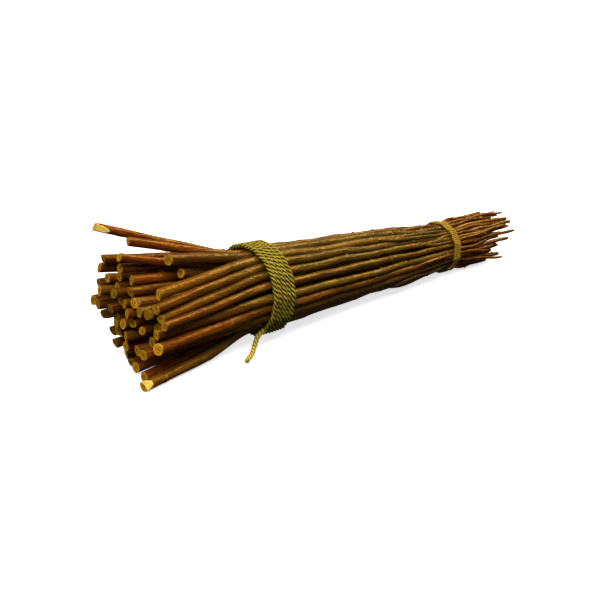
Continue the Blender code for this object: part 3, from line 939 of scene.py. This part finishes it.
def ring_frames(centre, places):
    """At every ring the ways along and across the twig, and the length from its butt."""
    tangent = np.gradient(centre, places, axis=0)
    tangent /= np.linalg.norm(tangent, axis=1)[:, None]
    out = UP - tangent * (tangent @ UP)[:, None]
    out /= np.linalg.norm(out, axis=1)[:, None]
    steps = np.linalg.norm(np.diff(centre, axis=0), axis=1)
    return tangent, out, np.cross(tangent, out), np.concatenate([[0.0], np.cumsum(steps)])


def uneven_girth(radius, ahead, clock, chance):
    """Each corner's distance from the twig's middle: not quite round, with gentle swellings."""
    size = radius[:, None] * (1 + 0.025 * np.cos(2 * clock + chance.uniform(0, math.tau)))
    for order, amount in ((3, 0.012), (5, 0.01)):
        drift = ahead[:, None] / chance.uniform(25, 60)
        wave = np.sin(order * clock + drift + chance.uniform(0, math.tau))
        size = size * (1 + amount * wave)
    swell = chance.normal(0, 1, 40)
    along = np.interp(ahead, np.linspace(0, ahead[-1], len(swell)), swell)
    return size * (1 + 0.012 * along)[:, None]


def grow_knots(size, radius, places, clock, knots, chance):
    """The corners swollen at the leaf knots, how scarred each is and how big a bud it bears."""
    scar = np.zeros_like(size)
    bud = np.zeros_like(size)
    facing = chance.uniform(0, math.tau)
    for knot in knots:
        facing += math.radians(chance.uniform(125, 155))
        strength = chance.uniform(0.5, 1.0)
        off = (places - knot)[:, None]
        turn = (clock - facing + math.pi) % math.tau - math.pi
        reach = turn * radius[:, None]
        size = size + 0.07 * strength * radius[:, None] * np.exp(-(off / 1.9) ** 2)
        lump = np.exp(-(off / 1.2) ** 2 - (reach / 1.25) ** 2)
        size = size + 0.12 * strength * radius[:, None] * lump
        healed = np.exp(-(off / 1.7) ** 2 - (reach / 1.5) ** 2)
        scar = np.maximum(scar, strength * healed * (chance.uniform(0, 1) < SCARRED))
        age = grown(knot)
        if age > BUDS_FROM and chance.uniform(0, 1) < BUDDED:
            ring = np.argmin(np.abs(off))
            corner = np.argmin(np.abs(turn[0]))
            bud[ring, corner] = chance.uniform(0.7, 1.15) * (1.15 - 0.4 * age)
    return size, scar, bud


def leaning_end(size, clock, distance, over, slope, toward):
    """How far along the corners near an end are moved, so that its cut leans."""
    fade = np.clip(1 - distance / over, 0, 1)[:, None]
    return slope * size * np.cos(clock - toward) * fade


def press_slope(corners, radius, length, deep, turn):
    """Presses a butt's corners down to a sloping cut, and says how bare each of them is."""
    turn = math.radians(turn - 90)
    way = np.array([math.cos(turn), math.sin(turn)])
    limit = radius * (1 - 2 * deep * (1 - corners[:, 0] / length))
    over = np.where(corners[:, 0] < length, corners[:, 1:] @ way - limit, -1.0)
    corners[:, 1:] -= np.outer(np.maximum(over, 0.0), way)
    return smooth_step((over + 0.12) / 0.24)


def stick_skin(paths, stick, chance, settings):
    """Corners, faces, face materials and corner attributes of a twig's or a shoot's skin."""
    parent = paths.parents[stick]
    number = (stick if parent is None else parent) + 1
    sides = settings.sides if parent is None else SHOOT_SIDES
    knots = paths.knots[stick]
    places = ring_places(paths.stations[stick], knots, settings.ring_gap / MM)
    centre, radius = paths.at(stick, places)
    centre = to_world(centre) / MM
    tangent, out, beside, ahead = ring_frames(centre, places)
    clock = (np.arange(sides) / sides * math.tau)[None, :]
    size = uneven_girth(radius, ahead, clock, chance)
    size, scar, bud = grow_knots(size, radius, places, clock, knots, chance)
    tip = smooth_step((places[-1] - places) / chance.uniform(3.0, 7.0))
    size = size * (TIP_GIRTH + (1 - TIP_GIRTH) * tip)[:, None]
    slope = chance.uniform(0.04, 0.3)
    toward = chance.uniform(0, math.tau)
    along = leaning_end(size, clock, ahead, BUTT_LEAN, slope, toward)
    slope = chance.uniform(0.2, 1.1)
    toward = chance.uniform(0, math.tau)
    if parent is None and number in TIP_SLICES:
        slope, turn = TIP_SLICES[number]
        toward = math.radians(turn + 90)
    along += leaning_end(size, clock, ahead[-1] - ahead, TIP_LEAN, slope, toward)
    across = (size * np.cos(clock), size * np.sin(clock))
    local = np.stack([along + ahead[:, None], *across], axis=2)
    rings = list(local)
    ring_of = list(range(len(places)))
    for ring, cap in ((0, BUTT_CAP), (len(places) - 1, TIP_CAP)):
        middle = np.array((ahead[ring], 0.0, 0.0))
        for part, rise in cap:
            rings.append(middle + (local[ring] - middle) * part + (rise, 0.0, 0.0))
            ring_of.append(ring)
    for end in (ahead[0], ahead[-1]):
        rings.append(np.array(((end + CAP_MIDDLE, 0.0, 0.0),)))
    corners = np.vstack(rings)
    ring_of = np.append(np.repeat(ring_of, sides), (0, len(places) - 1))
    cut = np.zeros(len(corners))
    fresh = 1.0
    # a sloping cut's fresh number, which above 1 paints a highlight on its bare wood
    if parent is None and number in SLICES:
        length, deep, turn, fresh = SLICES[number]
        cut = press_slope(corners, radius[0], length, deep, turn)
    world = centre[ring_of] + tangent[ring_of] * (corners[:, :1] - ahead[ring_of][:, None])
    world += out[ring_of] * corners[:, 1:2] + beside[ring_of] * corners[:, 2:3]
    warm = 1 - smooth_step((places + 75.0) / 95.0) + smooth_step((places - 190.0) / 60.0)
    on_caps = np.zeros(len(corners) - scar.size)
    # a twig not listed in TONES draws a random tone that leans dark: the spread is the twigs' own
    # tone, the lean to dark is painted shade for the many twigs and butts deep inside the bundle
    tone = TONES.get(number, chance.uniform(-0.9, 0.35))
    faces, kinds = skin_faces(len(places), sides)
    values = {
        "grain": np.column_stack([corners[:, 0] * MM + 0.731 * (stick + 1), corners[:, 1:] * MM]),
        "girth": radius[ring_of] * MM,
        "cut": cut,
        "fresh": np.full(len(corners), fresh),
        "warm": warm[ring_of],
        "scar": np.append(scar, on_caps),
        "bud": np.append(bud, on_caps),
        "tone": np.full(len(corners), tone),
    }
    return world * MM, faces, kinds, values


def skin_faces(ring_count, sides):
    """Faces of a closed twig skin, and which of them are cut wood."""
    here = np.arange(sides)
    after = (here + 1) % sides
    faces = []
    for ring in range(ring_count - 1):
        low = ring * sides
        high = low + sides
        faces += np.column_stack([low + here, low + after, high + after, high + here]).tolist()
    kinds = [0] * len(faces)
    tip_first = ring_count + len(BUTT_CAP)
    cap_end = tip_first + len(TIP_CAP)
    butt = [0, *range(ring_count, tip_first)]
    tip = [ring_count - 1, *range(tip_first, cap_end)]
    middle = cap_end * sides
    for order, rings, centre in ((1, butt, middle), (-1, tip, middle + 1)):
        for outer, inner in zip(rings[:-1], rings[1:]):
            low = outer * sides
            high = inner * sides
            quads = np.column_stack([low + here, high + here, high + after, low + after])
            faces += quads[:, ::order].tolist()
        last = rings[-1] * sides
        corners = np.column_stack([last + here, np.full(sides, centre), last + after])
        faces += corners[:, ::order].tolist()
    kinds += [1] * (len(faces) - len(kinds))
    return faces, kinds


def make_twig(paths, twig, chance, settings, tree, bark, wood):
    """One dressed twig with its side shoots, in place of its solid."""
    node = TWIG_NODES[twig]
    sticks = [twig] + [shoot for shoot, parent in enumerate(paths.parents) if parent == twig]
    points = []
    faces = []
    kinds = []
    values = []
    for stick in sticks:
        skin, skin_faces_here, skin_kinds, skin_values = stick_skin(paths, stick, chance, settings)
        first = len(points)
        points += skin.tolist()
        faces += [[corner + first for corner in face] for face in skin_faces_here]
        kinds += skin_kinds
        values.append(skin_values)
    mesh = bpy.data.meshes.new(node)
    mesh.from_pydata(points, [], faces)
    mesh.materials.append(bark)
    mesh.materials.append(wood)
    mesh.polygons.foreach_set("material_index", kinds)
    mesh.polygons.foreach_set("use_smooth", [kind == 0 for kind in kinds])
    for name in values[0]:
        data = np.concatenate([skin_values[name] for skin_values in values]).astype(np.float32)
        kind, field = ("FLOAT_VECTOR", "vector") if data.ndim == 2 else ("FLOAT", "value")
        layer = mesh.attributes.new(name, kind, "POINT")
        layer.data.foreach_set(field, data.ravel())
    mesh.update()
    made = run_tree(mesh, tree, {"Material": bark})
    piece = finished(f"{node}_bark", made)
    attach(piece, "root")
    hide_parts(node)


class TwigSettings(bpy.types.PropertyGroup):
    sides: IntProperty(name="Sides", description="Faces round a twig", default=20, min=8, max=48)
    ring_gap: FloatProperty(
        name="Ring Gap", description="Distance between the rings of a twig's skin",
        default=0.0022, min=0.0005, unit="LENGTH", subtype="DISTANCE",
    )
    crook: FloatProperty(
        name="Crookedness", description="How far a twig wanders from its smooth curve",
        default=0.00045, min=0.0, unit="LENGTH", subtype="DISTANCE",
    )
    shoots: FloatProperty(
        name="Side Shoots", description="Thin side shoots that a twig has, on average",
        default=1.0, min=0.0, max=2.0,
    )
    brown: FloatVectorProperty(
        name="Brown Bark", description="Colour of the plain brown bark",
        default=(0.155, 0.067, 0.0065), size=3, subtype="COLOR",
    )
    red_brown: FloatVectorProperty(
        name="Red-Brown Bark", description="Colour of the redder bark",
        default=(0.155, 0.05, 0.0045), size=3, subtype="COLOR",
    )
    olive: FloatVectorProperty(
        name="Olive Bark", description="Colour of the greener bark",
        default=(0.12, 0.061, 0.007), size=3, subtype="COLOR",
    )
    cut_wood: FloatVectorProperty(
        name="Cut Wood", description="Colour of the end grain",
        default=(0.9, 0.43, 0.012), size=3, subtype="COLOR",
    )
    fresh_cut: FloatVectorProperty(
        name="Fresh Cut", description="Colour of wood laid bare by a sloping cut",
        default=(0.7, 0.48, 0.085), size=3, subtype="COLOR",
    )


class RopeSettings(bpy.types.PropertyGroup):
    thickness: FloatProperty(
        name="Rope Thickness", description="Thickness of the rope round the thick part",
        default=0.0038, min=0.001, unit="LENGTH", subtype="DISTANCE",
    )
    lay: FloatProperty(
        name="Rope Lay", description="Length in which a strand of the rope goes round once",
        default=-0.0103, unit="LENGTH", subtype="DISTANCE",
    )
    colour: FloatVectorProperty(
        name="Rope Colour", description="Colour of the rope's fibre",
        default=(0.78, 0.6, 0.06), size=3, subtype="COLOR",
    )
    # painted shade: the colour put into the grooves between the rope's strands stands for the shade
    # there
    groove: FloatVectorProperty(
        name="Rope Groove Colour", description="Colour between the rope's strands",
        default=(0.014, 0.007, 0.002), size=3, subtype="COLOR",
    )
    hairs: FloatProperty(
        name="Loose Fibres", description="Loose fibres on a square metre of rope",
        default=30000.0, min=0.0,
    )
    cord_thickness: FloatProperty(
        name="Cord Thickness", description="Thickness of the cord round the thin part",
        default=0.0022, min=0.001, unit="LENGTH", subtype="DISTANCE",
    )
    cord_lay: FloatProperty(
        name="Cord Lay", description="Length in which a strand of the cord goes round once",
        default=-0.0065, unit="LENGTH", subtype="DISTANCE",
    )
    cord_colour: FloatVectorProperty(
        name="Cord Colour", description="Colour of the cord's fibre",
        default=(1.15, 0.73, 0.08), size=3, subtype="COLOR",
    )
    # painted shade: the colour put into the grooves between the cord's strands stands for the shade
    # there
    cord_groove: FloatVectorProperty(
        name="Cord Groove Colour", description="Colour between the cord's strands",
        default=(0.17, 0.065, 0.004), size=3, subtype="COLOR",
    )


class StageSettings(bpy.types.PropertyGroup):
    floor: FloatVectorProperty(
        name="Floor", description="Colour of the floor",
        default=(0.9, 0.9, 0.9), size=3, subtype="COLOR",
    )
    sky: FloatProperty(
        name="Sky", description="Strength of the light from all round", default=0.16, min=0.0,
    )
    key: FloatProperty(
        name="Key Light", description="Strength of the soft light from above",
        default=2.9, min=0.0,
    )
    glint: FloatProperty(
        name="Glint", description="Strength of the light from the thin end that shines on the bark",
        default=1.8, min=0.0,
    )


class TWIGBUNDLE_OT_stage(bpy.types.Operator):
    """Make the camera, the lights and the pale floor"""

    bl_idname = "twigbundle.stage"
    bl_label = "Stage"

    def execute(self, context):
        settings = context.scene.twig_bundle_stage
        self.make_camera(context.scene)
        self.make_floor(settings)
        self.make_lights(context.scene, settings)
        return {"FINISHED"}

    def make_camera(self, scene):
        """A camera that looks at the thick end from its near side and from above."""
        level = Vector((math.sin(CAMERA_TURN), math.cos(CAMERA_TURN), 0.0))
        down = Vector((0.0, 0.0, -1.0))
        ahead = math.cos(CAMERA_HEIGHT) * level + math.sin(CAMERA_HEIGHT) * down
        right = Vector((math.cos(CAMERA_TURN), -math.sin(CAMERA_TURN), 0.0))
        up = right.cross(ahead)
        data = bpy.data.cameras.new("camera")
        data.lens = CAMERA_LENS
        data.sensor_width = 36.0
        data.clip_start = 0.02
        data.clip_end = 200.0
        camera = bpy.data.objects.new("camera", data)
        place = Vector(ORIGIN) + (CAMERA_RIGHT * right + CAMERA_UP * up - CAMERA_AWAY * ahead) * MM
        facing = Matrix((right, up, -ahead)).transposed().to_4x4()
        camera.matrix_world = Matrix.Translation(place) @ facing
        scene.collection.objects.link(camera)
        scene.camera = camera

    def make_floor(self, settings):
        """A wide pale floor."""
        wide = 40.0
        mesh = bpy.data.meshes.new("floor")
        corners = [(-wide, -wide, 0.0), (wide, -wide, 0.0), (wide, wide, 0.0), (-wide, wide, 0.0)]
        mesh.from_pydata(corners, [], [(0, 1, 2, 3)])
        material, maker, shader = new_material("floor")
        place = maker.add("ShaderNodeTexCoord").outputs["Object"]
        mottle = maker.noise(place, 3.0)
        colour = tuple(settings.floor)
        connect(maker, shader, Base_Color=maker.blend(mottle, darker(colour, 0.995), colour))
        shader.inputs["Roughness"].default_value = 0.9
        shader.inputs["Specular IOR Level"].default_value = 0.1
        shader.inputs["Emission Color"].default_value = (1.0, 1.0, 1.0, 1.0)
        shader.inputs["Emission Strength"].default_value = 0.72
        mesh.materials.append(material)
        floor = finished("floor", mesh)
        floor.visible_diffuse = False
        floor.visible_glossy = False

    def make_lights(self, scene, settings):
        """A broad soft light from above, a small one for the shine on the bark, and a white sky."""
        lights = (
            ("key", settings.key, 50.0, (-0.35, -0.35, 1.0), (1.0, 1.0, 1.0)),
            ("glint", settings.glint, 26.0, (0.66, -0.15, 0.74), (1.0, 0.78, 0.3)),
        )
        for name, strength, spread, toward, colour in lights:
            data = bpy.data.lights.new(name, "SUN")
            data.energy = strength
            data.color = colour
            data.angle = math.radians(spread)
            light = bpy.data.objects.new(name, data)
            light.rotation_euler = Vector(toward).to_track_quat("Z", "Y").to_euler()
            scene.collection.objects.link(light)
        world = bpy.data.worlds.new("sky")
        world.use_nodes = True
        maker = NodeMaker(world.node_tree)
        toward = maker.add("ShaderNodeTexCoord").outputs["Generated"]
        height = maker.add("ShaderNodeSeparateXYZ", {0: toward}).outputs[2]
        strength = maker.fit(height, -0.2, 0.3, settings.sky * 0.15, settings.sky)
        seen = maker.add("ShaderNodeLightPath").outputs["Is Camera Ray"]
        strength = maker.math("MAXIMUM", strength, seen)
        background = world.node_tree.nodes["Background"]
        background.inputs["Color"].default_value = (1.0, 1.0, 1.0, 1.0)
        maker.tree.links.new(strength, background.inputs["Strength"])
        scene.world = world
        scene.view_settings.view_transform = "Standard"


def laid_rope(path, thickness, lay, material, hairs=0.0):
    """The mesh of a rope along a path in the bundle's own millimetres, with loose fibres."""
    winding = bpy.data.node_groups.get("laid_rope") or laid_rope_tree()
    mesh = run_tree(path_mesh(path), winding, {
        "Rope Radius": thickness / 2, "Lay Length": lay, "Material": material,
    })
    if hairs:
        standing = bpy.data.node_groups.get("loose_fibres") or loose_fibre_tree()
        mesh = run_tree(mesh, standing, {"Hairs Per Area": hairs, "Material": material})
    return mesh


class TWIGBUNDLE_OT_rope_tail(bpy.types.Operator):
    """Make the rope's free end, lying on the surface"""

    bl_idname = "twigbundle.rope_tail"
    bl_label = "Rope Tail"

    def execute(self, context):
        settings = context.scene.twig_bundle_rope
        # painted light: the free end is a lighter copy of the rope's fibre, with lighter painted
        # shade in its grooves
        lighter = darker(tuple(settings.colour), TAIL_PAINTED_LIGHT)
        groove = darker(tuple(settings.colour), TAIL_GROOVE_SHADE)
        rope = make_fibre("rope_end_fibre", lighter, groove, ROPE_TWISTS)
        route = smooth_route(TAIL_ROUTE, 4)
        hidden_start = route[:1] + np.array([(3.0, 0.6, 1.2)])
        path = np.vstack([hidden_start, route])
        mesh = laid_rope(path, settings.thickness, settings.lay, rope)
        piece = finished("rope_tail_strands", mesh)
        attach(piece, "root")
        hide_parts("rope_tail")
        return {"FINISHED"}


class TWIGBUNDLE_OT_rope_binding(bpy.types.Operator):
    """Wind the rope five times round the thick part"""

    bl_idname = "twigbundle.rope_binding"
    bl_label = "Rope Binding"

    def execute(self, context):
        settings = context.scene.twig_bundle_rope
        colour = tuple(settings.colour)
        rope = make_fibre("rope_fibre", colour, tuple(settings.groove), ROPE_TWISTS)
        chance = np.random.default_rng(SEED)
        thick = settings.thickness / MM
        radius = FORE_OUTSIDE - thick / 2
        pitch = FORE_WIDTH / FORE_TURNS
        path = wound_path(
            radius, thick, pitch / 2, 4.74, pitch, 228.0, (0.70, 0.84), FORE_CORNERS, chance, 0.13
        )
        mesh = laid_rope(path, settings.thickness, settings.lay, rope, settings.hairs)
        piece = finished("rope_binding_strands", mesh)
        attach(piece, "root")
        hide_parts("rope_binding")
        return {"FINISHED"}


class TWIGBUNDLE_OT_tip_binding(bpy.types.Operator):
    """Wind the thin cord round the thin part"""

    bl_idname = "twigbundle.tip_binding"
    bl_label = "Tip Binding"

    def execute(self, context):
        settings = context.scene.twig_bundle_rope
        colour = tuple(settings.cord_colour)
        cord = make_fibre("thin_cord", colour, tuple(settings.cord_groove), CORD_TWISTS)
        chance = np.random.default_rng(SEED + 1)
        thick = settings.cord_thickness / MM
        radius = TIP_OUTSIDE - thick / 2
        pitch = TIP_WIDTH / TIP_TURNS * 0.88
        start = TIP_START + TIP_WIDTH / 2 - pitch
        path = wound_path(
            radius, thick, start, 2.74, pitch, 200.0, (0.60, 0.84), TIP_CORNERS, chance, 0.1
        )
        mesh = laid_rope(path, settings.cord_thickness, settings.cord_lay, cord, settings.hairs)
        piece = finished("tip_binding_strands", mesh)
        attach(piece, "root")
        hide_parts("tip_binding")
        return {"FINISHED"}


class TWIGBUNDLE_OT_twigs(bpy.types.Operator):
    """Dress every twig with bark, knots, buds and cut ends"""

    bl_idname = "twigbundle.twigs"
    bl_label = "Twigs"

    def execute(self, context):
        settings = context.scene.twig_bundle_twigs
        chance = np.random.default_rng(SEED)
        fresh = tuple(settings.fresh_cut)
        barks = {
            "bark_brown": make_bark("bark_brown", tuple(settings.brown), fresh),
            "bark_red_brown": make_bark("bark_red_brown", tuple(settings.red_brown), fresh),
            "bark_olive": make_bark("bark_olive", tuple(settings.olive), fresh),
        }
        wood = make_cut_wood("cut_wood", tuple(settings.cut_wood))
        paths = Paths(chance, settings.crook / MM, settings.shoots)
        tree = bud_tree()
        for twig, node in enumerate(TWIG_NODES):
            own_chance = np.random.default_rng(SEED * 100 + twig)
            make_twig(paths, twig, own_chance, settings, tree, barks[slot_of(node)], wood)
        return {"FINISHED"}


class TWIGBUNDLE_PT_panel(bpy.types.Panel):
    """The bundle's settings and steps"""

    bl_idname = "TWIGBUNDLE_PT_panel"
    bl_label = "Twig Bundle"
    bl_space_type = "VIEW_3D"
    bl_region_type = "UI"
    bl_category = "Twig Bundle"

    def draw(self, context):
        scene = context.scene
        groups = (scene.twig_bundle_stage, scene.twig_bundle_rope, scene.twig_bundle_twigs)
        for group in groups:
            box = self.layout.box()
            for name in group.__annotations__:
                box.prop(group, name)
        for operator in OPERATORS:
            self.layout.operator(operator.bl_idname)


OPERATORS = (
    TWIGBUNDLE_OT_stage,
    TWIGBUNDLE_OT_rope_tail,
    TWIGBUNDLE_OT_rope_binding,
    TWIGBUNDLE_OT_tip_binding,
    TWIGBUNDLE_OT_twigs,
)
CLASSES = (TwigSettings, RopeSettings, StageSettings) + OPERATORS + (TWIGBUNDLE_PT_panel,)


def register():
    for kind in CLASSES:
        bpy.utils.register_class(kind)
    bpy.types.Scene.twig_bundle_twigs = PointerProperty(type=TwigSettings)
    bpy.types.Scene.twig_bundle_rope = PointerProperty(type=RopeSettings)
    bpy.types.Scene.twig_bundle_stage = PointerProperty(type=StageSettings)


def unregister():
    del bpy.types.Scene.twig_bundle_stage
    del bpy.types.Scene.twig_bundle_rope
    del bpy.types.Scene.twig_bundle_twigs
    for kind in reversed(CLASSES):
        bpy.utils.unregister_class(kind)


def main():
    """Build everything."""
    register()
    bpy.ops.twigbundle.stage()
    bpy.ops.twigbundle.rope_tail()
    bpy.ops.twigbundle.rope_binding()
    bpy.ops.twigbundle.tip_binding()
    bpy.ops.twigbundle.twigs()


if __name__ == "__main__":
    main()
